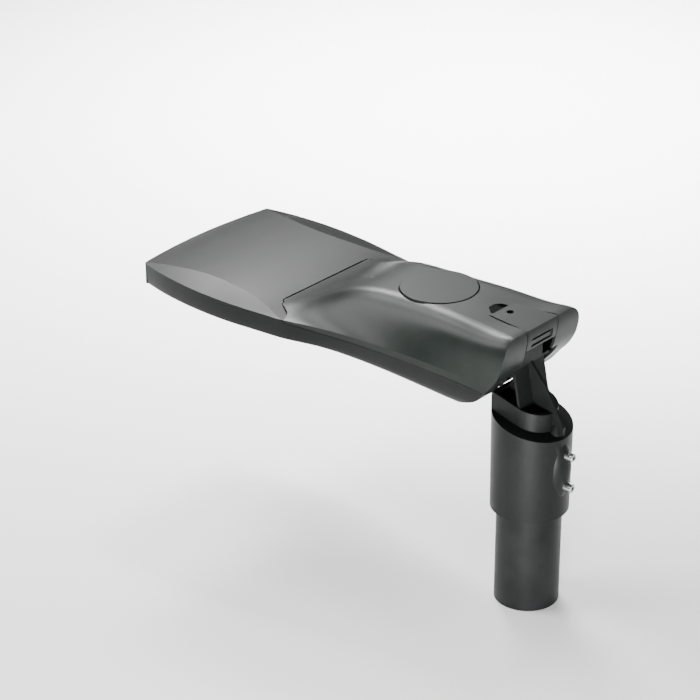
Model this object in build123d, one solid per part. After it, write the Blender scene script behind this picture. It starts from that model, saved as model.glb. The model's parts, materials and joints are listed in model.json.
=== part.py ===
from build123d import *

import math
import os

# LED street light on a short length of its pole. +Z is up, the head points along -Y, and x = 0 is its middle plane.
# Heights are measured from the lower end of the sleeve. write() lifts every piece by pole_visible, so that the
# finished model has its origin on the pole's axis at the lower end of the pole piece.

# Pole and spigot bracket
pole_diameter = 76.0
pole_wall = 4.0
pole_visible = 122.0
pole_insertion = 90.0
spigot_relief = 0.5
slip_gap = 0.08
sleeve_diameter = 91.4
sleeve_taper = 0.0095
shoulder_height = 113.4
shoulder_slope = 0.25
boss_rise = 22.0
boss_radius = 29.0
boss_wall = 4.5
boss_front = 37.0
plate_thickness = 3.2
plate_half_width = 27.0
plate_foot = (2.4, 134.0)
plate_head = (-7.8, 182.5)
rib_thickness = 4.0
flange_half_width = 33.0
flange_back = -4.0
flange_front = -14.0
flange_top = 184.0
flange_thickness = 3.0
screw_pad_middle = 61.0
screw_pad_radius = 19.0
screw_pad_half_height = 56.0
screw_pad_axis = 33.5
set_screw_radius = 5.0
set_screw_heights = (41.0, 80.5)
set_screw_tail = 59.5
set_screw_gap = 0.1

# Tilt knuckle
knuckle_y = -24.0
knuckle_z = 192.0
knuckle_radius = 12.0
knuckle_half_width = 20.0
neck_top = 197.0
ear_gap = 0.4
ear_thickness = 7.0
tilt_bolt_radius = 5.0
bolt_gap = 0.08
washer_thickness = 1.5
washer_radius = 10.0
bolt_head_height = 6.4
nut_height = 6.0
hex_flats = 16.0

# Head, seen from above: half width of the outline at stations along its length
outline_stations = (-520.0, -505.0, -470.0, -430.0, -395.0, -350.0, -310.0, -281.0, -244.0)
outline_widths = (105.5, 109.5, 117.3, 121.9, 123.2, 120.9, 115.7, 111.7, 102.2)
waist_stations = (-206.0, -152.0, -100.0, -48.0, -10.0, 15.0)
waist_widths = (95.0, 87.3, 80.2, 73.5, 68.4, 66.5)
front_corner_y = -505.0
front_bow = 9.5
corner_radius = 4.0

# Slab: arched top, lens-shaped side facets, band below them
slab_crown = 197.0
slab_crown_y = -415.0
slab_arch_radius = 838.0
band_top_at_crown = 189.8
band_slope = -0.0225
facet_stations = (-520.0, -505.0, -490.0, -470.0, -450.0, -430.0, -400.0, -370.0, -350.0, -330.0, -310.0, -290.0, -265.0)
facet_widths = (104.5, 107.5, 103.5, 99.2, 95.3, 92.2, 90.0, 91.4, 93.6, 96.8, 101.8, 108.5, 107.0)
joint_height = 184.0
pan_stations = (-500.0, -470.0, -430.0, -395.0, -350.0, -310.0, -281.0, -244.0, -191.0, -139.0, -100.0, -61.0,
                -36.0, 15.0)

# Lower pan: height of its upper rim and of its belly at stations along the head
rim_stations = (-505.0, -281.0, -244.0, -191.0, -139.0, -87.0, -36.0, -14.0, 15.0)
rim_heights = (184.0, 183.9, 180.9, 178.8, 176.4, 172.0, 165.5, 161.4, 156.0)
belly_stations = (-505.0, -430.0, -310.0, -270.0, -244.0, -218.0, -191.0, -165.0, -139.0, -112.0, -87.0, -61.0,
                  -40.0, 15.0)
belly_heights = (166.1, 164.6, 162.9, 161.9, 161.1, 159.2, 155.9, 151.7, 147.1, 141.6, 135.9, 131.5, 130.5, 130.0)
round_stations = (-520.0, -310.0, -244.0, -191.0, -139.0, -87.0, -40.0, 15.0)
round_shares = (0.0, 0.0, 0.12, 0.35, 0.6, 0.85, 1.0, 1.0)
edge_reach = 2.0
edge_height = 1.5
wall_lean = 5.0
round_reach = 24.0
round_height = 0.45
casting_wall = 3.0
stern_curve = ((9.5, 240.0), (9.5, 233.0), (10.0, 219.0), (8.0, 208.0), (5.0, 196.0), (0.0, 185.0),
               (-7.0, 175.0), (-16.0, 165.0), (-25.0, 153.5), (-36.0, 144.5), (-50.0, 138.5), (-66.0, 133.0),
               (-90.0, 125.5))
stern_floor_height = 190.0
stern_floor_span = 40.0

# Rear cover: each row is y, half width, rim height, half width of the flat top, its height, and the
# reach and end slope of the side's curve
cover_rows = (
    (-330.0, 120.0, 187.8, 66.0, 188.6, 28.0, 20.0, 2.0),
    (-309.0, 116.5, 187.6, 62.0, 190.5, 28.0, 20.0, 3.0),
    (-281.0, 111.7, 187.2, 50.0, 199.3, 26.0, 22.0, 5.0),
    (-250.0, 103.4, 187.0, 44.0, 213.5, 25.0, 24.0, 12.0),
    (-215.0, 96.2, 186.8, 41.0, 226.0, 25.0, 24.0, 24.0),
    (-180.0, 91.0, 186.3, 37.5, 230.8, 27.0, 24.0, 38.0),
    (-130.0, 84.5, 184.5, 37.0, 232.9, 28.0, 24.0, 56.0),
    (-70.0, 76.5, 179.5, 40.0, 233.4, 31.0, 26.0, 78.0),
    (-10.0, 68.4, 171.3, 46.0, 233.0, 30.0, 30.0, 97.0),
    (15.0, 66.8, 168.0, 47.0, 232.8, 29.0, 30.0, 99.0),
)
cover_top = 233.4
cover_wall = 3.0
cover_gap = 0.5
seam_straight_y = -312.0
seam_gap = 0.4
seam_edge_gap = 0.6
seam_curve = ((77.6, -309.2), (84.5, -304.4), (89.3, -297.0), (93.6, -290.2), (98.4, -284.2), (105.0, -280.6),
              (124.0, -279.0))
seam_straight_half = 69.0
bead_radius = 3.0
swing_gap = 0.1
hinge_pin_radius = 1.5
hinge_pin_inner = 60.0
hinge_pin_outer = 96.0
pin_gap = 0.05

# Sealing wall and gasket between pan and cover
seal_half_width = 59.5
seal_front = -266.5
seal_back = -44.0
seal_wall = 3.0
seal_drop = 2.0
gasket_height = 2.4
gasket_gap = 0.05

# Pocket in the stern for the bracket
pocket_half_width = 40.0
pocket_top = 190.0
mouth_half_width = 26.6
mouth_top = 207.0

# Latch
latch_back_half = 28.0
latch_front_half = 21.3
latch_front = -47.8
latch_thickness = 4.0
latch_gap = 0.8
latch_leg_thickness = 6.0
latch_leg_foot = 207.5
latch_hole_y = -35.8
latch_hole_radius = 4.3
latch_hole_depth = 5.0
latch_hole_floor = 1.0
leg_panel = (19.3, 210.5, 221.5)
leg_panel_depth = 1.2
leg_groove_half = 17.0
leg_grooves = ((217.8, 220.8), (210.8, 212.4))
leg_groove_back = 5.6
latch_pivot_y = -2.0
latch_pivot_z = 225.5
latch_pin_radius = 2.0
latch_pin_half = 33.0
latch_hook_half = 8.0
latch_hook_back = -16.0
latch_hook_foot = 204.6
latch_nose = 4.3
latch_nose_height = 3.4
ledge_thickness = 3.0
ledge_top = 226.0
ledge_back = -27.0
keeper_front = -13.0
keeper_back = -8.0
keeper_foot = 209.0
keeper_thickness = 3.5
spring_thickness = 0.6
spring_side = (10.5, 18.5)
scoop_front = -64.5
scoop_depth = 7.0

# Control socket and its cap
cap_y = -137.8
cap_radius = 45.8
cap_top = 234.2
cap_edge_height = 3.0
cap_round = 1.2
cap_seat_depth = 6.0
cap_gap = 0.9
socket_radius = 33.0
socket_depth = 20.0
socket_flange_radius = 40.0
socket_flange = 3.0
socket_screw_circle = 36.2

# Gear compartment
tray_drop = 10.0
tray_thickness = 1.5
tray_half_width = 52.0
tray_front = -252.0
tray_back = -62.0
driver_size = (56.0, 136.0, 25.0)
driver_center = (-20.0, -160.0)
surge_size = (34.0, 56.0, 22.0)
surge_center = (32.0, -206.0)
terminal_size = (28.0, 44.0, 16.0)
terminal_center = (34.0, -120.0)
gland_x = 22.0
gland_z = 161.0
vent_x = 30.0
vent_y = -84.0
vent_radius = 6.0
vent_flange_radius = 9.0
vent_recess = 1.8

# Optics
optic_half_width = 80.0
optic_front = -484.0
optic_back = -324.0
optic_roof = 3.6
ledge_width = 15.0
board_thickness = 1.6
chip_size = 3.5
chip_height = 1.2
chip_gap = 0.2
lens_plate_thickness = 2.0
lens_radius = 7.0
lens_height = 4.2
lens_gap = 0.4
lens_columns = 6
lens_rows = 6
gasket_seal_width = 5.0
gasket_thickness = 1.6
glass_thickness = 3.4
frame_thickness = 1.8
frame_width = 15.5
frame_screw_inset = 4.2
frame_gap = 0.4


def write(name, shape):
    """Writes one piece, lifted so that the pole's lower end is at z = 0."""
    solids = shape if isinstance(shape, list) else [shape]
    solids = [Pos(0, 0, pole_visible) * solid for solid in solids]
    flat = [part for solid in solids for part in solid.solids()]
    export_step(flat[0] if len(flat) == 1 else Compound(flat), f"parts/{name}.step")


def block(x0, x1, y0, y1, z0, z1):
    """A box between two corners."""
    center = Pos((x0 + x1) / 2, (y0 + y1) / 2, (z0 + z1) / 2)
    return center * Box(x1 - x0, y1 - y0, z1 - z0)


def rod(radius, start, end):
    """A round rod between two points."""
    start, end = Vector(*start), Vector(*end)
    plane = Plane(origin=start, z_dir=end - start)
    return extrude(plane * Circle(radius), (end - start).length)


def hexagon_rod(flats, start, end):
    """A hexagonal rod between two points, measured across its flats."""
    start, end = Vector(*start), Vector(*end)
    plane = Plane(origin=start, z_dir=end - start)
    return extrude(plane * RegularPolygon(flats / math.sqrt(3), 6), (end - start).length)


def side_plate(points, x0, x1):
    """A plate whose outline is given as (y, z) points, between two x positions."""
    outline = Polyline(*[(x0, y, z) for y, z in points], close=True)
    return extrude(make_face(outline), x1 - x0, dir=(1, 0, 0))


def plan_prism(face, z0, z1):
    """A face drawn in the XY plane, raised between two heights."""
    return extrude(Pos(0, 0, z0) * face, z1 - z0)


def frame_prism(outer, width, z0, z1):
    """A rectangular frame: outer is (half width, front y, back y)."""
    half, front, back = outer
    whole = block(-half, half, front, back, z0, z1)
    return whole - block(-half + width, half - width, front + width, back - width, z0 - 1, z1 + 1)


def between(y, stations, values):
    """Smooth monotone interpolation of values given at stations."""
    count = len(stations)
    steps = [stations[i + 1] - stations[i] for i in range(count - 1)]
    slopes = [(values[i + 1] - values[i]) / steps[i] for i in range(count - 1)]
    tangents = [slopes[0]]
    for i in range(1, count - 1):
        before, after = slopes[i - 1], slopes[i]
        if before * after <= 0:
            tangents.append(0.0)
        else:
            w0 = 2 * steps[i] + steps[i - 1]
            w1 = steps[i] + 2 * steps[i - 1]
            tangents.append((w0 + w1) / (w0 / before + w1 / after))
    tangents.append(slopes[-1])
    i = max(0, min(count - 2, sum(y > station for station in stations) - 1))
    t = (y - stations[i]) / steps[i]
    rise = values[i + 1] * t * t * (3 - 2 * t) + values[i] * (1 - t) ** 2 * (1 + 2 * t)
    return rise + steps[i] * (tangents[i] * t * (1 - t) ** 2 - tangents[i + 1] * t * t * (1 - t))


def half_width(y):
    return between(y, outline_stations + waist_stations, outline_widths + waist_widths)


def pan_rim(y):
    return between(y, rim_stations, rim_heights)


def belly(y):
    return between(y, belly_stations, belly_heights)


def roundness(y):
    """How far the corner between side and belly is rounded, from 0 (crisp) to 1 (full)."""
    return between(y, round_stations, round_shares)


def band_top(y):
    return band_top_at_crown + band_slope * (y - slab_crown_y)


def slab_top(y):
    return max(slab_crown - (y - slab_crown_y) ** 2 / (2 * slab_arch_radius), band_top(y) + 0.1)


def line(a, b):
    return Edge.make_line(Vector(*a), Vector(*b))


def curve(*points):
    return Edge.make_bezier(*[Vector(*p) for p in points])


def loft_rings(rings):
    return Solid.make_loft([Wire(edges) for edges in rings])


def pan_ring(y, inset, lift):
    """One cross-section of the lower pan; inset makes the hollow, lift raises its open top."""
    half = half_width(y) - inset
    top = pan_rim(y) + lift
    low = belly(y) + inset
    share = roundness(y)
    rise = edge_height + (round_height * (pan_rim(y) - low) - edge_height) * share
    reach = edge_reach + round_reach * share
    rim = (half, y, pan_rim(y))
    side = [rim, (half - wall_lean * share, y, low + rise), (half - reach / 2, y, low), (half - reach, y, low)]
    mirror = [(-x, y, z) for x, y, z in reversed(side)]
    if not lift:
        return [line(mirror[-1], side[0]), curve(*side), line(side[-1], mirror[0]), curve(*mirror)]
    upper = (half, y, top)
    other = (-half, y, top)
    return [line(other, upper), line(upper, rim), curve(*side), line(side[-1], mirror[0]), curve(*mirror),
            line(mirror[-1], other)]


def slab_ring(y):
    """One cross-section of the slab above the joint height."""
    half = half_width(y)
    inner = min(between(y, facet_stations, facet_widths), half - 0.8)
    right = [(half, y, joint_height), (half, y, band_top(y)), (inner, y, slab_top(y))]
    left = [(-x, y, z) for x, y, z in reversed(right)]
    points = right + left
    return [line(points[i], points[(i + 1) % len(points)]) for i in range(len(points))]


def cover_ring(row, inset, drop):
    """One cross-section of the cover; inset makes the hollow."""
    y, half, rim, flat, top, reach, end_reach, slope = row
    angle = math.radians(slope)
    half -= inset
    rim -= inset * 0.6
    top -= inset
    flat -= inset * 0.3
    end = (half, y, rim)
    side = [
        (flat, y, top),
        (flat + reach, y, top),
        (half - end_reach * math.cos(angle), y, rim + end_reach * math.sin(angle)),
        end,
    ]
    foot = (half, y, pan_rim(y) - 6 - drop)
    mirror = [(-x, y, z) for x, y, z in side]
    mirror_foot = (-foot[0], foot[1], foot[2])
    return [
        line(mirror[0], side[0]),
        curve(*side),
        line(end, foot),
        line(foot, mirror_foot),
        line(mirror_foot, mirror[3]),
        curve(*reversed(mirror)),
    ]


def stern_region(inset):
    """Everything ahead of the stern's curve, which is set in by inset."""
    points = [(y - inset, z + inset * min(1.0, max(0.0, (stern_floor_height - z) / stern_floor_span)))
              for y, z in stern_curve]
    spline = Spline(*[(0, y, z) for y, z in points[1:]])
    top, foot = points[0], points[-1]
    rest = Polyline((0, foot[0], foot[1]), (0, -600, foot[1]), (0, -600, top[1]), (0, top[0], top[1]),
                    (0, points[1][0], points[1][1]))
    face = make_face([spline, rest])
    return extrude(face, 300, dir=(1, 0, 0), both=True)


def seam_face(shift, front):
    """Plan of the slab (front) or of the cover (not front), divided along the seam."""
    inner_y = seam_straight_y if front else seam_straight_y + seam_gap + bead_radius
    right = [(x - (0 if front else 0.35), y + shift) for x, y in seam_curve]
    start = (seam_straight_half, inner_y)
    if front:
        chain = Spline((start[0], inner_y), *right, tangents=[(1, 0), (1, 0)])
        left = Spline((-start[0], inner_y), *[(-x, y) for x, y in right], tangents=[(-1, 0), (-1, 0)])
        middle = Line((-start[0], inner_y), (start[0], inner_y))
    else:
        first = (start[0], seam_straight_y + shift)
        chain = Spline(first, *right, tangents=[(1, 0), (1, 0)])
        left = Spline((-first[0], first[1]), *[(-x, y) for x, y in right], tangents=[(-1, 0), (-1, 0)])
        middle = Polyline((-first[0], first[1]), (-first[0], inner_y), (first[0], inner_y), first)
    end = right[-1]
    far = -600 if front else 60
    rest = Polyline(end, (end[0], far), (-end[0], far), (-end[0], end[1]))
    return make_face([middle, chain, rest, left])


def nose_plan():
    """Plan of the bowed front edge with its rounded corners."""
    back = pan_stations[0]
    half, back_half = half_width(front_corner_y), half_width(back)
    corner = (half, front_corner_y)
    other = (-half, front_corner_y)
    bow = ThreePointArc(other, (0, front_corner_y - front_bow), corner)
    sides = Polyline(corner, (back_half, back), (-back_half, back), other)
    face = make_face([bow, sides])
    return fillet(face.vertices().group_by(Axis.Y)[0], corner_radius)


def swing_solid(stations, radii):
    """The solid swept about the cover's hinge by an edge whose distance from it is given along X."""
    ring = [(x, hinge_y, hinge_z + r) for x, r in zip(stations, radii)]
    ends = [(stations[-1], hinge_y, hinge_z), (stations[0], hinge_y, hinge_z)]
    solid = revolve(make_face(Polyline(*ring, *ends, close=True)), Axis((0, hinge_y, hinge_z), (1, 0, 0)))
    return solid + solid.mirror(Plane.YZ)


# Heights and places worked out from the dimensions above
pole_radius = pole_diameter / 2
sleeve_radius = sleeve_diameter / 2
spigot_radius = pole_radius - spigot_relief
bore_radius = spigot_radius + slip_gap
hinge_y = seam_straight_y + seam_gap + bead_radius
hinge_z = slab_top(seam_straight_y) - bead_radius
ear_inner = knuckle_half_width + ear_gap
ear_outer = ear_inner + ear_thickness
seam_line = ((seam_straight_half, seam_straight_y),) + seam_curve
bead_half = seam_curve[0][0] - 0.5
cover_edge_drop = hinge_z - pan_rim(seam_straight_y)
seal_height = joint_height - seal_drop
tray_height = seal_height - tray_drop
ceiling = joint_height - optic_roof
board_foot = ceiling - board_thickness
lens_top = board_foot - chip_height - chip_gap
lens_foot = lens_top - lens_plate_thickness
glass_top = lens_foot - lens_height - lens_gap
glass_foot = glass_top - glass_thickness
ledge_height = glass_top + gasket_thickness


# Pole piece and bracket
def pole_top_tube():
    tube = rod(pole_radius, (0, 0, -pole_visible), (0, 0, 0))
    tube += rod(spigot_radius, (0, 0, 0), (0, 0, pole_insertion))
    return tube - rod(pole_radius - pole_wall, (0, 0, -pole_visible - 1), (0, 0, pole_insertion + 1))


def above_slant(height):
    """Everything above the slanted plane that crosses the pole's axis at the given height."""
    reach = 200.0
    points = [(-reach, height + shoulder_slope * reach), (reach, height - shoulder_slope * reach),
              (reach, height + 400), (-reach, height + 400)]
    return side_plate(points, -reach, reach)


def spigot_bracket():
    height = shoulder_height + 80
    cone = Solid.make_cone(sleeve_radius, sleeve_radius + sleeve_taper * height, height)
    sleeve = cone - above_slant(shoulder_height)
    pad_arc = ThreePointArc((0, 0, -screw_pad_half_height), (screw_pad_radius, 0, 0), (0, 0, screw_pad_half_height))
    pad_face = make_face([pad_arc, Line((0, 0, screw_pad_half_height), (0, 0, -screw_pad_half_height))])
    pad = Pos(0, screw_pad_axis, screw_pad_middle) * revolve(pad_face, Axis.Z)
    boss_foot = pole_insertion + 6
    boss = rod(boss_radius, (0, 0, boss_foot), (0, 0, 170))
    boss += block(-boss_radius, boss_radius, -boss_front, 0, boss_foot, 170)
    boss = boss & cone
    boss -= above_slant(shoulder_height + boss_rise)
    shell = sleeve + pad + boss
    hollow_radius = boss_radius - boss_wall
    shell -= rod(bore_radius, (0, 0, -1), (0, 0, pole_insertion + 0.5))
    shell -= rod(hollow_radius, (0, 0, 0), (0, 0, 200))
    shell -= block(-hollow_radius, hollow_radius, -boss_front + boss_wall, 0, boss_foot + 6, 200)
    foot_y, foot_z = plate_foot
    head_y, head_z = plate_head
    lean = (head_y - foot_y) / (head_z - foot_z)
    low_z = boss_foot + 8
    low_y = foot_y + lean * (low_z - foot_z)
    plate = side_plate([(low_y, low_z), (low_y - plate_thickness, low_z), (head_y - plate_thickness, head_z),
                        (head_y, head_z)], -plate_half_width, plate_half_width)
    rib = side_plate([(sleeve_radius - 2, low_z), (sleeve_radius - 0.6, 114.5), (27.0, 143.8), (15.9, 160.4),
                      (flange_back - 0.5, flange_top - 1), (flange_front + 1, flange_top - 1), (-33.0, 143.0),
                      (-33.0, low_z)], -rib_thickness / 2, rib_thickness / 2)
    flange = block(-flange_half_width, flange_half_width, flange_front, flange_back,
                   flange_top - flange_thickness, flange_top)
    neck = block(-knuckle_half_width, knuckle_half_width, knuckle_y, flange_back, flange_top - flange_thickness,
                 neck_top)
    knuckle = rod(knuckle_radius, (-knuckle_half_width, knuckle_y, knuckle_z),
                  (knuckle_half_width, knuckle_y, knuckle_z))
    whole = shell + plate + rib + flange + neck + knuckle
    whole -= rod(tilt_bolt_radius + bolt_gap, (-60, knuckle_y, knuckle_z), (60, knuckle_y, knuckle_z))
    for height in set_screw_heights:
        whole -= rod(set_screw_radius + 0.02, (0, 20, height), (0, 80, height))
    return whole


def spigot_set_screws():
    screws = []
    for height in set_screw_heights:
        tip = spigot_radius + set_screw_gap
        screw = rod(set_screw_radius, (0, tip, height), (0, set_screw_tail, height))
        screw = chamfer(screw.edges().filter_by(GeomType.CIRCLE), 0.6)
        screws.append(screw - hexagon_rod(5.0, (0, set_screw_tail - 5, height), (0, set_screw_tail + 1, height)))
    return screws


def tilt_bolt():
    end = ear_outer + washer_thickness
    bolt = rod(tilt_bolt_radius, (-end, knuckle_y, knuckle_z), (end + nut_height + 1.5, knuckle_y, knuckle_z))
    return bolt + hexagon_rod(hex_flats, (-end - bolt_head_height, knuckle_y, knuckle_z), (-end, knuckle_y, knuckle_z))


def tilt_nut():
    start = ear_outer + washer_thickness
    nut = hexagon_rod(hex_flats, (start, knuckle_y, knuckle_z), (start + nut_height, knuckle_y, knuckle_z))
    return nut - rod(tilt_bolt_radius + 0.02, (0, knuckle_y, knuckle_z), (60, knuckle_y, knuckle_z))


def tilt_washers():
    washers = []
    for side in (-1, 1):
        inner, outer = side * ear_outer, side * (ear_outer + washer_thickness)
        washer = rod(washer_radius, (inner, knuckle_y, knuckle_z), (outer, knuckle_y, knuckle_z))
        washers.append(washer - rod(tilt_bolt_radius + 0.1, (-60, knuckle_y, knuckle_z), (60, knuckle_y, knuckle_z)))
    return washers


# Housing
def seal_loop(width, z0, z1):
    outer = (seal_half_width + width / 2, seal_front - width / 2, seal_back + width / 2)
    return frame_prism(outer, width, z0, z1)


def tray_posts():
    return [(x, y) for x in (-tray_half_width + 6, tray_half_width - 6) for y in (tray_front + 8, tray_back - 8)]


def housing_body():
    hull = loft_rings([pan_ring(y, 0, 0) for y in pan_stations]) & stern_region(0)
    hull += plan_prism(nose_plan(), belly(pan_stations[0]), joint_height)
    behind = block_face(-200, 200, pan_stations[0], 0)
    upper = loft_rings([slab_ring(y) for y in facet_stations])
    upper = upper & plan_prism(seam_face(0, True), joint_height - 5, 240)
    upper = upper & (plan_prism(nose_plan(), 150, 240) + plan_prism(behind, 150, 240))
    inner_stations = pan_stations[6:]
    hollow = loft_rings([pan_ring(y, casting_wall, 12) for y in inner_stations])
    hollow = hollow & stern_region(casting_wall)
    pan = hull - (hollow & block(-150, 150, -270, 60, 100, 260))
    solid = pan + upper
    envelope = loft_rings([pan_ring(y, casting_wall / 2, 60) for y in inner_stations]) & stern_region(1)
    walls = seal_loop(seal_wall, 110, seal_height)
    for side in (-1, 1):
        walls += block(side * pocket_half_width - casting_wall / 2, side * pocket_half_width + casting_wall / 2,
                       seal_back, 20, 110, 176) & under_rim(0)
    solid += walls & envelope
    for x, y in tray_posts():
        solid += rod(5, (x, y, 110), (x, y, tray_height)) & envelope
    solid += ears()
    solid -= block(-pocket_half_width + casting_wall / 2, pocket_half_width - casting_wall / 2,
                   seal_back + seal_wall / 2, 40, 100, 176)
    for x, y in tray_posts():
        solid -= rod(1.7, (x, y, tray_height - 12), (x, y, tray_height + 1))
    solid -= rod(8.1, (gland_x, seal_back - 10, gland_z), (gland_x, seal_back + 10, gland_z))
    seat = vent_seat()
    solid += rod(vent_flange_radius + 2, (vent_x, vent_y, seat), (vent_x, vent_y, seat + 3)) & envelope
    solid -= rod(vent_radius + 0.1, (vent_x, vent_y, 110), (vent_x, vent_y, 160))
    solid -= rod(vent_flange_radius + 0.3, (vent_x, vent_y, 110), (vent_x, vent_y, seat))
    solid -= rod(tilt_bolt_radius + bolt_gap, (-60, knuckle_y, knuckle_z), (60, knuckle_y, knuckle_z))
    for side in (-1, 1):
        solid -= rod(hinge_pin_radius + pin_gap, (side * seam_straight_half, hinge_y, hinge_z),
                     (side * (hinge_pin_outer + 0.5), hinge_y, hinge_z))
    inner_seam = seam_line[:2]
    solid -= swing_solid([x for x, _ in inner_seam],
                         [math.hypot(y + seam_edge_gap - hinge_y, cover_edge_drop) + swing_gap for _, y in inner_seam])
    return optic_recess(solid)


def ears():
    """The two ears that carry the tilt bolt, and the keeper bar across their tops."""
    root = seal_back + seal_wall / 2 - 1
    made = None
    for side in (-1, 1):
        x0, x1 = sorted((side * ear_inner, side * ear_outer))
        arm = side_plate([(root, 173), (root, seal_height - 0.5), (root + 1.6, seal_height),
                          (knuckle_y - 6, knuckle_z + 10), (knuckle_y, knuckle_z),
                          (knuckle_y - 4, knuckle_z - knuckle_radius + 1)], x0, x1)
        eye = rod(knuckle_radius, (x0, knuckle_y, knuckle_z), (x1, knuckle_y, knuckle_z))
        post = side_plate([(knuckle_y - 2, knuckle_z + 4), (knuckle_y + 4, keeper_foot + keeper_thickness),
                           (keeper_back, keeper_foot + keeper_thickness), (keeper_back, keeper_foot - 3),
                           (knuckle_y + 10, knuckle_z)], x0, x1)
        made = arm + eye + post if made is None else made + arm + eye + post
    bar = block(-ear_outer, ear_outer, keeper_front, keeper_back, keeper_foot, keeper_foot + keeper_thickness)
    return made + bar


def optic_recess(solid):
    outer = optic_half_width + ledge_width
    solid -= block(-optic_half_width, optic_half_width, optic_front, optic_back, 150, ceiling)
    solid -= block(-outer, outer, optic_front - ledge_width, optic_back + ledge_width, 150, ledge_height)
    for x, y in frame_screw_places():
        solid -= rod(1.7, (x, y, ledge_height - 1), (x, y, ledge_height + 8))
    for x, y in board_screw_places():
        solid -= rod(1.3, (x, y, ceiling - 1), (x, y, ceiling + 6))
    return solid


# Rear cover
def under_rim(gap):
    """Everything below the pan's rim, plus a gap."""
    rings = []
    for y in pan_stations:
        top = pan_rim(y) + gap
        rings.append([line((-160, y, 90), (160, y, 90)), line((160, y, 90), (160, y, top)),
                      line((160, y, top), (-160, y, top)), line((-160, y, top), (-160, y, 90))])
    return loft_rings(rings)


def cover_region(shift):
    return plan_prism(seam_face(shift, False), 100, 300)


def rear_cover():
    outer = loft_rings([cover_ring(row, 0, 0) for row in cover_rows])
    outer = outer & stern_region(0) & cover_region(seam_edge_gap)
    outer -= under_rim(cover_gap)
    inner = loft_rings([cover_ring(row, cover_wall, 8) for row in cover_rows])
    inner = inner & stern_region(cover_wall) & block(-150, 150, hinge_y + 1.5, 60, 100, 300)
    shell = outer - inner
    outer_seam = seam_line[1:4]
    shell -= swing_solid([x for x, _ in outer_seam],
                         [math.hypot(y - hinge_y, cover_edge_drop) + swing_gap for _, y in outer_seam])
    shell += rod(bead_radius, (-bead_half, hinge_y, hinge_z), (bead_half, hinge_y, hinge_z))
    foot = seal_height + gasket_height + 2 * gasket_gap
    rib = seal_loop(seal_wall, foot, 240) & outer
    seat = rod(cap_radius + 3, (0, cap_y, cover_top - cap_seat_depth - 3), (0, cap_y, 240)) & outer
    ledge = block(-latch_back_half - 5, latch_back_half + 5, latch_front - 5, ledge_back,
                  ledge_top - ledge_thickness, 240) & outer
    scoop_floor = block(-26, 26, scoop_front - 5, latch_front + 2, cover_top - scoop_depth - 4, 240) & outer
    shell = shell + rib + seat + ledge + scoop_floor
    for side in (-1, 1):
        inner_x, outer_x = side * (latch_back_half + 1.2), side * (latch_pin_half + 1)
        x0, x1 = sorted((inner_x, outer_x))
        shell += block(x0, x1, latch_pivot_y - 5, latch_pivot_y + 9, latch_pivot_z - 5, 240) & outer
    shell -= rod(cap_radius + cap_gap, (0, cap_y, cover_top - cap_seat_depth), (0, cap_y, 250))
    shell -= rod(socket_radius + 0.2, (0, cap_y, 190), (0, cap_y, 250))
    shell -= plan_prism(latch_face(latch_gap), ledge_top, 260)
    shell -= plan_prism(latch_face(latch_gap) & block_face(-60, 60, ledge_back, 60), 180, 260)
    shell -= block(-pocket_half_width, pocket_half_width, seal_back + seal_wall, 40, 100, pocket_top)
    shell -= block(-mouth_half_width, mouth_half_width, seal_back + seal_wall + 12, 40, 100, mouth_top + 1)
    shell -= scoop()
    shell -= rod(latch_pin_radius + pin_gap, (-latch_pin_half - 0.2, latch_pivot_y, latch_pivot_z),
                 (latch_pin_half + 0.2, latch_pivot_y, latch_pivot_z))
    for side in (-1, 1):
        shell -= rod(hinge_pin_radius + pin_gap, (side * (hinge_pin_inner - 0.5), hinge_y, hinge_z),
                     (side * (hinge_pin_outer + 2), hinge_y, hinge_z))
    for x, y in socket_screw_places():
        shell -= rod(1.7, (x, y, 190), (x, y, 260))
    return max(shell.solids(), key=lambda s: s.volume)


def block_face(x0, x1, y0, y1):
    return Pos((x0 + x1) / 2, (y0 + y1) / 2) * Rectangle(x1 - x0, y1 - y0)


def latch_face(grow):
    """Plan of the latch, wider towards the end wall."""
    back = 20.0 if grow else 9.5
    taper = (latch_back_half - latch_front_half) / (9.5 - latch_front)
    back_half = latch_back_half + taper * (back - 9.5) + grow
    return make_face(Polyline((-latch_front_half - grow, latch_front - grow), (latch_front_half + grow, latch_front - grow),
                              (back_half, back), (-back_half, back), close=True))


def scoop():
    """Finger scoop in the cover, just ahead of the latch."""
    face = make_face(Polyline((16, latch_front + 1), (15, latch_front - 4), (5, scoop_front + 2), (-3, scoop_front),
                              (-12, -56), (-14, latch_front + 1), close=True))
    hollow = plan_prism(face, cover_top - scoop_depth, 260)
    slope = side_plate([(scoop_front - 3, cover_top + 2), (latch_front + 2, cover_top - scoop_depth),
                        (latch_front + 2, 262), (scoop_front - 3, 262)], -20, 20)
    return hollow & slope


def cover_gasket():
    z0 = seal_height + gasket_gap
    return seal_loop(seal_wall, z0, z0 + gasket_height)


def cover_hinge_pins():
    return [rod(hinge_pin_radius, (side * hinge_pin_inner, hinge_y, hinge_z), (side * hinge_pin_outer, hinge_y, hinge_z))
            for side in (-1, 1)]


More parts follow.
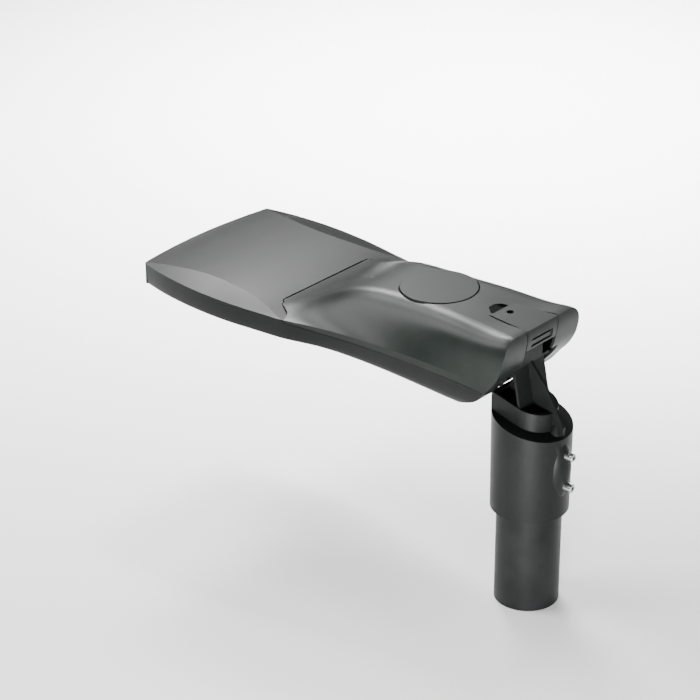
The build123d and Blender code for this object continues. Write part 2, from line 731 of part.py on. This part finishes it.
# Latch
def latch_handle():
    plate = plan_prism(latch_face(0), cover_top - latch_thickness, cover_top)
    plate = plate & stern_region(0)
    leg_half = latch_back_half - 0.9
    leg = block(-leg_half, leg_half, 9.5 - latch_leg_thickness - 4, 20, latch_leg_foot, cover_top)
    leg = (leg & stern_region(0)) - stern_region(latch_leg_thickness)
    handle = plate + leg
    hook_front = latch_hook_back - 3
    handle += block(-latch_hook_half, latch_hook_half, hook_front, latch_hook_back, latch_hook_foot,
                    cover_top - latch_thickness)
    handle += block(-latch_hook_half, latch_hook_half, latch_hook_back, latch_hook_back + latch_nose, latch_hook_foot,
                    latch_hook_foot + latch_nose_height)
    for side in (-1, 1):
        x0, x1 = sorted((side * 21, side * 25))
        handle += block(x0, x1, latch_pivot_y - 4, latch_pivot_y + 8, latch_pivot_z - 4, cover_top - 1)
    hole_foot = cover_top - latch_hole_depth
    handle += rod(latch_hole_radius + 2.7, (0, latch_hole_y, hole_foot - latch_hole_floor), (0, latch_hole_y, cover_top - 1))
    handle -= rod(latch_hole_radius, (0, latch_hole_y, hole_foot), (0, latch_hole_y, 250))
    handle -= rod(2.7, (0, latch_hole_y, 220), (0, latch_hole_y, 250))
    handle -= rod(latch_pin_radius + pin_gap, (-60, latch_pivot_y, latch_pivot_z), (60, latch_pivot_y, latch_pivot_z))
    panel_half, panel_foot, panel_top = leg_panel
    handle -= block(-panel_half, panel_half, 0, 20, panel_foot, panel_top) - stern_region(leg_panel_depth)
    for z0, z1 in leg_grooves:
        handle -= block(-leg_groove_half, leg_groove_half, leg_groove_back, 20, z0, z1)
    return handle


def latch_pin():
    return rod(latch_pin_radius, (-latch_pin_half, latch_pivot_y, latch_pivot_z),
               (latch_pin_half, latch_pivot_y, latch_pivot_z))


def latch_spring():
    """A bent strip of spring steel under the latch, whose free end bears on the ledge."""
    top = cover_top - latch_thickness - 0.05 - spring_thickness
    path = [(-14.0, top), (-25.0, top), (-38.0, ledge_top + 0.1), (-41.5, ledge_top + 0.6)]
    upper = [(y, z + spring_thickness) for y, z in reversed(path)]
    return side_plate(path + upper, *spring_side)


def latch_lock_screw():
    foot = cover_top - latch_hole_depth
    head = rod(4.0, (0, latch_hole_y, foot + 0.05), (0, latch_hole_y, foot + 1.4))
    screw = head + rod(2.5, (0, latch_hole_y, foot - 1.2), (0, latch_hole_y, foot + 0.8))
    return screw - hexagon_rod(3.0, (0, latch_hole_y, foot + 0.5), (0, latch_hole_y, 250))


# Cap and control socket
def socket_cap():
    disc = rod(cap_radius, (0, cap_y, cap_top - cap_edge_height - 2.4), (0, cap_y, cap_top))
    disc = fillet(disc.edges().group_by(Axis.Z)[-1], cap_round)
    disc -= rod(cap_radius - 3, (0, cap_y, 200), (0, cap_y, cap_top - 2.5))
    for turn in range(3):
        lug = Pos(0, cap_y, 0) * Rot(0, 0, 120 * turn) * block(9, 12.5, -1, 1, cap_top - 5.5, cap_top - 2)
        disc += lug
    return disc


def cap_seal_ring():
    seat = cover_top - cap_seat_depth
    ring = rod(cap_radius - 0.6, (0, cap_y, seat + 0.05), (0, cap_y, cap_top - cap_edge_height - 2.45))
    return ring - rod(cap_radius - 4.5, (0, cap_y, 190), (0, cap_y, 250))


def socket_screw_places():
    turns = [math.radians(angle) for angle in (30, 150, 270)]
    return [(socket_screw_circle * math.cos(turn), cap_y + socket_screw_circle * math.sin(turn)) for turn in turns]


def control_socket():
    seat = cover_top - cap_seat_depth
    flange_top = seat - cover_wall - 0.05
    body = rod(socket_radius, (0, cap_y, seat - socket_depth), (0, cap_y, seat + 0.4))
    body += rod(socket_flange_radius, (0, cap_y, flange_top - socket_flange), (0, cap_y, flange_top))
    for angle in (30, 150, 270):
        body -= Pos(0, cap_y, 0) * Rot(0, 0, angle) * block(9.6, 11.9, -5, 5, seat - 12, 250)
    for x, y in socket_screw_places():
        body -= rod(1.52, (x, y, 190), (x, y, 260))
    return body


def socket_screws():
    seat = cover_top - cap_seat_depth
    return [rod(2.6, (x, y, seat), (x, y, seat + 1.8)) + rod(1.5, (x, y, seat - cover_wall - socket_flange), (x, y, seat))
            - hexagon_rod(2.0, (x, y, seat + 0.8), (x, y, seat + 3)) for x, y in socket_screw_places()]


# Gear compartment
def gear_tray():
    z0 = tray_height + 0.02
    sheet = block(-tray_half_width, tray_half_width, tray_front, tray_back, z0, z0 + tray_thickness)
    for side in (-1, 1):
        x0, x1 = sorted((side * tray_half_width, side * (tray_half_width - tray_thickness)))
        sheet += block(x0, x1, tray_front + 16, tray_back - 16, z0, z0 + 8)
    for x, y in tray_posts():
        sheet -= rod(2.2, (x, y, z0 - 1), (x, y, z0 + 3))
    return sheet


def pan_head_screw(x, y, seat, shank_radius, head_radius, length):
    screw = rod(head_radius, (x, y, seat), (x, y, seat + 2.4)) + rod(shank_radius, (x, y, seat - length), (x, y, seat))
    return screw - rod(1.2, (x, y, seat + 1.2), (x, y, seat + 3))


def tray_screws():
    seat = tray_height + tray_thickness + 0.02
    return [pan_head_screw(x, y, seat, 1.65, 3.5, 10) for x, y in tray_posts()]


def on_tray(size, center, extra=0.0):
    """A box that stands on the tray."""
    sx, sy, sz = size
    cx, cy = center
    z0 = tray_height + tray_thickness + 0.04
    return block(cx - sx / 2 - extra, cx + sx / 2 + extra, cy - sy / 2, cy + sy / 2, z0, z0 + sz)


def led_driver():
    case = on_tray(driver_size, driver_center)
    case = fillet(case.edges().filter_by(Axis.Y), 2)
    cx, cy = driver_center
    length = driver_size[1] / 2
    z0 = tray_height + tray_thickness + 0.04
    for end in (-1, 1):
        y0, y1 = sorted((cy + end * (length - 1), cy + end * (length + 9)))
        case += block(cx - 24, cx + 24, y0, y1, z0, z0 + 2)
    for x, y in driver_screw_places():
        case -= rod(2.1, (x, y, z0 - 1), (x, y, z0 + 4))
    return case


def driver_screw_places():
    cx, cy = driver_center
    reach = driver_size[1] / 2 + 4.5
    return [(cx + dx, cy + dy) for dx in (-16, 16) for dy in (-reach, reach)]


def driver_screws():
    seat = tray_height + tray_thickness + 0.04 + 2
    return [rod(3.5, (x, y, seat), (x, y, seat + 2.2)) + rod(1.6, (x, y, seat - 1.9), (x, y, seat))
            for x, y in driver_screw_places()]


def surge_protector():
    body = on_tray(surge_size, surge_center)
    return fillet(body.edges().filter_by(Axis.Z), 3)


def terminal_block():
    body = on_tray(terminal_size, terminal_center)
    cx, cy = terminal_center
    top = tray_height + tray_thickness + 0.04 + terminal_size[2]
    pitch = terminal_size[1] / 5
    for pole in range(5):
        y = cy - terminal_size[1] / 2 + pitch * (pole + 0.5)
        body -= rod(2.6, (cx - 6, y, top - 5), (cx - 6, y, top + 1))
        body -= block(cx + terminal_size[0] / 2 - 8, cx + 40, y - 2.8, y + 2.8, top - 13, top - 6)
    return body


def earth_screw():
    x, y = 44.0, -84.0
    z0 = tray_height + tray_thickness + 0.04
    head = hexagon_rod(8, (x, y, z0 + 1.2), (x, y, z0 + 5))
    return head + rod(5.5, (x, y, z0), (x, y, z0 + 1.2))


def cable_gland():
    inner = seal_back - seal_wall / 2
    outer = seal_back + seal_wall / 2
    body = rod(8, (gland_x, inner - 6, gland_z), (gland_x, outer + 9, gland_z))
    body += hexagon_rod(21, (gland_x, outer + 0.05, gland_z), (gland_x, outer + 6, gland_z))
    body += hexagon_rod(19, (gland_x, outer + 7, gland_z), (gland_x, outer + 14, gland_z))
    return body - rod(4, (gland_x, inner - 10, gland_z), (gland_x, outer + 20, gland_z))


def gland_nut():
    inner = seal_back - seal_wall / 2
    nut = hexagon_rod(21, (gland_x, inner - 4.5, gland_z), (gland_x, inner - 0.05, gland_z))
    return nut - rod(8.02, (gland_x, inner - 10, gland_z), (gland_x, inner + 1, gland_z))


def vent_seat():
    return belly(vent_y) + vent_recess


def breather_plug():
    seat = vent_seat()
    plug = rod(vent_radius, (vent_x, vent_y, seat - 1), (vent_x, vent_y, seat + 7))
    plug += rod(vent_flange_radius, (vent_x, vent_y, seat - 3), (vent_x, vent_y, seat - 0.05))
    return plug - hexagon_rod(5, (vent_x, vent_y, seat - 4), (vent_x, vent_y, seat - 1.5))


# Optics
def lens_places():
    span_x = 2 * (optic_half_width - 16)
    span_y = optic_back - optic_front - 28
    middle = (optic_back + optic_front) / 2
    return [(-span_x / 2 + span_x * i / (lens_columns - 1), middle - span_y / 2 + span_y * j / (lens_rows - 1))
            for i in range(lens_columns) for j in range(lens_rows)]


def board_screw_places():
    middle = (optic_back + optic_front) / 2
    reach_x = 2 * (optic_half_width - 16) / (lens_columns - 1) * 2
    reach_y = (optic_back - optic_front - 28) / (lens_rows - 1) * 2
    return [(x, middle + y) for x in (-reach_x, 0.0, reach_x) for y in (-reach_y, reach_y)]


def frame_screw_places():
    x = optic_half_width + ledge_width - frame_screw_inset
    y0, y1 = optic_front - ledge_width + frame_screw_inset, optic_back + ledge_width - frame_screw_inset
    middle = (y0 + y1) / 2
    return [(side * x, y) for side in (-1, 1) for y in (y0, middle, y1)] + [(0.0, y0), (0.0, y1)]


def led_board():
    board = block(-optic_half_width + 2, optic_half_width - 2, optic_front + 2, optic_back - 2, board_foot, ceiling)
    for x, y in board_screw_places():
        board -= rod(1.6, (x, y, board_foot - 1), (x, y, ceiling + 1))
    return board


def leds():
    half = chip_size / 2
    return [block(x - half, x + half, y - half, y + half, board_foot - chip_height, board_foot)
            for x, y in lens_places()]


def lens_plate():
    edge = 3.0
    plate = block(-optic_half_width + edge, optic_half_width - edge, optic_front + edge, optic_back - edge,
                  lens_foot, lens_top)
    rim = frame_prism((optic_half_width - edge, optic_front + edge, optic_back - edge), 2, lens_top - 1, board_foot)
    plate += rim
    sphere_radius = (lens_radius ** 2 + lens_height ** 2) / (2 * lens_height)
    base = lens_foot
    for x, y in lens_places():
        ball = Pos(x, y, base + sphere_radius - lens_height) * Sphere(sphere_radius)
        plate += ball & block(x - 9, x + 9, y - 9, y + 9, base - lens_height - 1, base + 0.5)
    for x, y in board_screw_places():
        plate += rod(4, (x, y, base), (x, y, board_foot))
        plate -= rod(1.6, (x, y, base - 1), (x, y, ceiling))
    return plate


def board_screws():
    base = lens_foot
    return [rod(2.8, (x, y, base - 1.8), (x, y, base)) + rod(1.25, (x, y, base), (x, y, ceiling + 5))
            for x, y in board_screw_places()]


def glass_gasket():
    reach = gasket_seal_width
    outer = (optic_half_width + reach, optic_front - reach, optic_back + reach)
    return frame_prism(outer, reach, glass_top, ledge_height)


def optic_glass():
    reach = gasket_seal_width + 1
    return block(-optic_half_width - reach, optic_half_width + reach, optic_front - reach, optic_back + reach,
                 glass_foot, glass_top)


def glass_frame():
    reach = ledge_width - frame_gap
    outer = (optic_half_width + reach, optic_front - reach, optic_back + reach)
    frame = frame_prism(outer, frame_width, glass_foot - frame_thickness, glass_foot)
    frame = fillet(frame.edges().filter_by(Axis.Z).group_by(lambda e: round(abs(e.center().X)))[-1], 1.5)
    for x, y in frame_screw_places():
        frame += rod(3.6, (x, y, glass_foot - 0.5), (x, y, ledge_height - 0.05))
        frame -= rod(1.8, (x, y, glass_foot - 5), (x, y, ledge_height + 1))
    return frame


def frame_screws():
    seat = glass_foot - frame_thickness
    return [rod(3.2, (x, y, seat - 1.6), (x, y, seat)) + rod(1.65, (x, y, seat), (x, y, ledge_height + 7))
            - hexagon_rod(2.5, (x, y, seat - 2), (x, y, seat - 0.5)) for x, y in frame_screw_places()]


pieces = (pole_top_tube, spigot_bracket, spigot_set_screws, tilt_bolt, tilt_nut, tilt_washers, housing_body, rear_cover,
          cover_gasket, cover_hinge_pins, latch_handle, latch_pin, latch_spring, latch_lock_screw, socket_cap,
          cap_seal_ring, control_socket, socket_screws, gear_tray, tray_screws, led_driver, driver_screws, surge_protector,
          terminal_block, earth_screw, cable_gland, gland_nut, breather_plug, led_board, leds, lens_plate, board_screws,
          glass_gasket, optic_glass, glass_frame, frame_screws)

os.makedirs("parts", exist_ok=True)
for piece in pieces:
    write(piece.__name__, piece())
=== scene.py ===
import json
import math

import bpy
from mathutils import Matrix, Vector


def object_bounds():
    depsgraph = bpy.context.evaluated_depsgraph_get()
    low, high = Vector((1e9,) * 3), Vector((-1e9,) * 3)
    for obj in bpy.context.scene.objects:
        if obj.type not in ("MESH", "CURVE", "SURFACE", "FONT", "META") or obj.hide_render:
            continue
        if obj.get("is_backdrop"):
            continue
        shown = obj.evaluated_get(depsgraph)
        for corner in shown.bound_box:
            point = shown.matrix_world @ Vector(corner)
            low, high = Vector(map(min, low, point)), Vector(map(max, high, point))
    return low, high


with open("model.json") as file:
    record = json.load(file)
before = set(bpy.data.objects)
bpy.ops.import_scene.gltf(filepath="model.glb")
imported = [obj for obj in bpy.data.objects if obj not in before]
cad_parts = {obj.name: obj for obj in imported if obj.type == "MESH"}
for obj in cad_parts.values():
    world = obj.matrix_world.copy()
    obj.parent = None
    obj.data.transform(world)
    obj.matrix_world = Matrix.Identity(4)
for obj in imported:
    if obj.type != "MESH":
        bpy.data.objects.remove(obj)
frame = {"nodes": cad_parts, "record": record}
cad_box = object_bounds()
nodes = frame["nodes"]


def plain(value):
    """Vectors and tuples as plain lists of numbers."""
    if hasattr(value, "__len__"):
        return [plain(item) for item in value]
    return float(value)


def srgb(*levels):
    """Linear colour, with alpha, from levels of 0 to 255."""
    linear = []
    for level in levels:
        share = level / 255
        linear.append(share / 12.92 if share <= 0.04045 else ((share + 0.055) / 1.055) ** 2.4)
    return (*linear, 1.0)


def shader_of(made):
    return made.node_tree.nodes["Principled BSDF"]


def material(name, color, roughness, metallic=0.0, **sockets):
    """A material with one principled shader; sockets are named with _ in place of each space."""
    made = bpy.data.materials.new(name)
    made.use_nodes = True
    shader = shader_of(made)
    shader.inputs["Base Color"].default_value = color
    shader.inputs["Roughness"].default_value = roughness
    shader.inputs["Metallic"].default_value = metallic
    for socket, value in sockets.items():
        shader.inputs[socket.replace("_", " ")].default_value = value
    return made


def add(made, kind, **sockets):
    """A node with some of its sockets set."""
    node = made.node_tree.nodes.new(kind)
    for socket, value in sockets.items():
        node.inputs[socket].default_value = value
    return node


def link(made, source, out, target, into):
    made.node_tree.links.new(source.outputs[out], target.inputs[into])


def texture(made, kind, **sockets):
    """A procedural texture in the object's own coordinates."""
    coordinates = add(made, "ShaderNodeTexCoord")
    node = add(made, kind, **sockets)
    link(made, coordinates, "Object", node, "Vector")
    return node


def spread_over(made, source, out, first, last, socket):
    """Runs a socket of the shader between two (position, colour) stops of a texture."""
    node = add(made, "ShaderNodeValToRGB")
    elements = node.color_ramp.elements
    elements[0].position, elements[0].color = first
    elements[1].position, elements[1].color = last
    link(made, source, out, node, "Fac")
    link(made, node, "Color", shader_of(made), socket)


def gloss_over(made, source, out, first, last):
    """Runs the roughness between two (position, roughness) stops of a texture."""
    stops = [(position, (rough, rough, rough, 1)) for position, rough in (first, last)]
    spread_over(made, source, out, *stops, "Roughness")


def bumps(made, source, strength, distance):
    """Drives the shader's normal with a texture; the distance is in metres."""
    bump = add(made, "ShaderNodeBump", Strength=strength, Distance=distance)
    link(made, source, "Fac", bump, "Height")
    link(made, bump, "Normal", shader_of(made), "Normal")


def grain(made, size, strength, distance):
    """Fine bumps of one size in metres."""
    noise = texture(made, "ShaderNodeTexNoise", Scale=1 / size, Detail=2.0, Roughness=0.55)
    bumps(made, noise, strength, distance)
    return noise


def powder_coat(name, dark, light, low, high, specular, size=0.0009, strength=0.12):
    """Powder coat: a faint orange peel, with colour and roughness that drift a little over the surface."""
    made = material(name, dark, low, Specular_IOR_Level=specular)
    grain(made, size, strength, distance=0.0002)
    drift = texture(made, "ShaderNodeTexNoise", Scale=14.0, Detail=4.0, Roughness=0.6)
    spread_over(made, drift, "Fac", (0.35, dark), (0.7, light), "Base Color")
    gloss_over(made, drift, "Fac", (0.3, low), (0.75, high))
    return made


def brushed(name, color, roughness):
    """Turned or rolled metal whose roughness varies finely."""
    made = material(name, color, roughness, metallic=1.0)
    noise = texture(made, "ShaderNodeTexNoise", Scale=900.0, Detail=3.0)
    gloss_over(made, noise, "Fac", (0.3, roughness - 0.07), (0.7, roughness + 0.1))
    bumps(made, noise, strength=0.08, distance=0.0001)
    return made


def moulded(name, color, roughness, size=0.0005, strength=0.1):
    """Moulded plastic or rubber with a fine spark-eroded grain."""
    made = material(name, color, roughness)
    noise = grain(made, size, strength, distance=0.00015)
    gloss_over(made, noise, "Fac", (0.3, roughness - 0.05), (0.7, roughness + 0.06))
    return made


def zinc(name):
    """Galvanised sheet with its spangle."""
    made = material(name, srgb(170, 174, 178), 0.4, metallic=1.0)
    cells = texture(made, "ShaderNodeTexVoronoi", Scale=160.0)
    spread_over(made, cells, "Color", (0.2, srgb(150, 154, 158)), (0.8, srgb(190, 194, 197)), "Base Color")
    gloss_over(made, cells, "Color", (0.2, 0.32), (0.8, 0.5))
    return made


def clear(name, color, roughness, ior):
    """Clear glass or plastic with a faint waviness."""
    made = material(name, color, roughness, Transmission_Weight=1.0, IOR=ior)
    grain(made, size=0.02, strength=0.02, distance=0.0002)
    return made


# Darkest and lightest colour, least and most roughness, and specular level of each coat
casting = powder_coat("casting_coat", srgb(9, 10, 10), srgb(13, 14, 14), 0.35, 0.41, 0.14)
cover_coat = powder_coat("cover_coat", srgb(19, 23, 21), srgb(25, 29, 27), 0.34, 0.4, 0.17)
bracket_coat = powder_coat(
    "bracket_coat", srgb(13, 15, 14), srgb(18, 20, 19), 0.42, 0.48, 0.14, size=0.0011, strength=0.16)
pole_coat = powder_coat(
    "pole_coat", srgb(12, 13, 13), srgb(24, 26, 26), 0.42, 0.52, 0.15, size=0.0016, strength=0.5)
cap_plastic = powder_coat(
    "cap_plastic", srgb(22, 24, 23), srgb(26, 28, 27), 0.4, 0.45, 0.14, size=0.0006, strength=0.1)
steel = brushed("steel", srgb(196, 197, 199), 0.27)
zinc_sheet = zinc("zinc_sheet")
rubber = moulded("rubber", srgb(26, 26, 27), 0.72, size=0.0008, strength=0.2)
black_plastic = moulded("black_plastic", srgb(24, 25, 26), 0.5)
driver_case = moulded("driver_case", srgb(214, 216, 216), 0.42)
surge_case = moulded("surge_case", srgb(70, 75, 82), 0.45)
terminal_plastic = moulded("terminal_plastic", srgb(200, 198, 188), 0.45)
board_mask = moulded("board_mask", srgb(232, 234, 232), 0.4, size=0.0003, strength=0.05)
phosphor = moulded("phosphor", srgb(236, 205, 70), 0.55, size=0.0002, strength=0.05)
glass = clear("glass", (0.93, 0.97, 0.95, 1), 0.01, ior=1.5)
lens = clear("lens", (0.97, 0.98, 1.0, 1), 0.03, ior=1.49)

finishes = {
    "powder_coat": casting,
    "pole_paint": pole_coat,
    "steel": steel,
    "zinc_sheet": zinc_sheet,
    "rubber": rubber,
    "glass": glass,
    "lens": lens,
    "board": board_mask,
    "led": phosphor,
    "cap": cap_plastic,
    "black_plastic": black_plastic,
    "driver_case": driver_case,
    "surge_case": surge_case,
    "terminal": terminal_plastic,
}
own_finishes = {"rear_cover": cover_coat, "latch_handle": cover_coat, "spigot_bracket": bracket_coat}


def dress():
    """Gives every CAD node the material of its slot, or one of its own."""
    slots = {entry["node"]: entry["material_slot"] for entry in frame["record"]["subparts"]}
    for name, node in nodes.items():
        node.data.materials.clear()
        node.data.materials.append(own_finishes.get(name, finishes[slots[name]]))


floor_width = 30
floor_drop = 0.0005


def stage_floor():
    """A plain pale floor, a hair below the pole's end."""
    bpy.ops.mesh.primitive_plane_add(size=floor_width, location=(0, 0, -floor_drop))
    floor = bpy.context.object
    floor.name = "floor"
    floor.data.materials.append(material("floor_paint", (0.86, 0.86, 0.86, 1), 0.9, Specular_IOR_Level=0.1))
    floor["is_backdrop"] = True


def area_light(name, place, target, width, height, glow, spread=180):
    """A softbox that faces its target; glow is the radiance of its face, spread its cone in degrees."""
    data = bpy.data.lights.new(name, "AREA")
    data.shape = "RECTANGLE"
    data.size = width
    data.size_y = height
    data.energy = glow * math.pi * data.size * data.size_y
    data.spread = math.radians(spread)
    light = bpy.data.objects.new(name, data)
    bpy.context.collection.objects.link(light)
    light.location = place
    light.rotation_euler = (Vector(place) - Vector(target)).to_track_quat("Z", "Y").to_euler()


surroundings = 0.2
lamp_middle = Vector((0, -0.2, 0.3))
# Each softbox's direction from the lamp, distance, width, height and radiance
softboxes = {
    "panel_low": ((-0.72, -0.58, 0.36), 2.8, 2.6, 1.0, 1.1),
    "softbox_facet": ((-0.47, -0.6, 0.65), 2.6, 0.85, 0.42, 75.0),
    "softbox_shoulder": ((0.05, -0.58, 0.81), 2.3, 0.8, 0.5, 30.0),
    "softbox_side": ((0.5, -0.6, 0.62), 2.2, 1.2, 1.0, 15.0),
    "fill_low": ((0.76, 0.64, -0.1), 1.3, 0.3, 0.26, 200.0),
}
floor_spot = Vector((-1.3, -1.0, 0))
floor_light_height = 2.6


def studio():
    """Dim white surroundings, softboxes around the lamp, and a light on the floor beyond it."""
    world = bpy.data.worlds.new("studio")
    bpy.context.scene.world = world
    world.use_nodes = True
    background = world.node_tree.nodes["Background"]
    background.inputs["Color"].default_value = (1, 1, 1, 1)
    background.inputs["Strength"].default_value = surroundings
    for name, (way, distance, width, height, glow) in softboxes.items():
        place = lamp_middle + Vector(way).normalized() * distance
        area_light(name, place, lamp_middle, width, height, glow)
    place = floor_spot + Vector((0, 0, floor_light_height))
    area_light("floor_light", place, floor_spot, width=1.0, height=1.0, glow=26, spread=62)


camera_place = (2.04902, 1.49368, 1.57896)
camera_right = Vector((-0.65288, 0.75745, 0.0))
camera_back = Vector((0.67792, 0.58433, 0.44606))
focal_length = 130.07


def camera():
    """A long lens that looks down on the lamp from behind its pole and to one side."""
    data = bpy.data.cameras.new("camera")
    data.sensor_width = 36
    data.sensor_fit = "HORIZONTAL"
    data.lens = focal_length
    data.clip_start = 0.05
    made = bpy.data.objects.new("camera", data)
    bpy.context.collection.objects.link(made)
    up = camera_back.cross(camera_right)
    turn = Matrix((camera_right, up, camera_back)).transposed().to_4x4()
    made.matrix_world = Matrix.Translation(camera_place) @ turn
    bpy.context.scene.camera = made


dress()
stage_floor()
studio()
camera()

plain(cad_box)
plain(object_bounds())
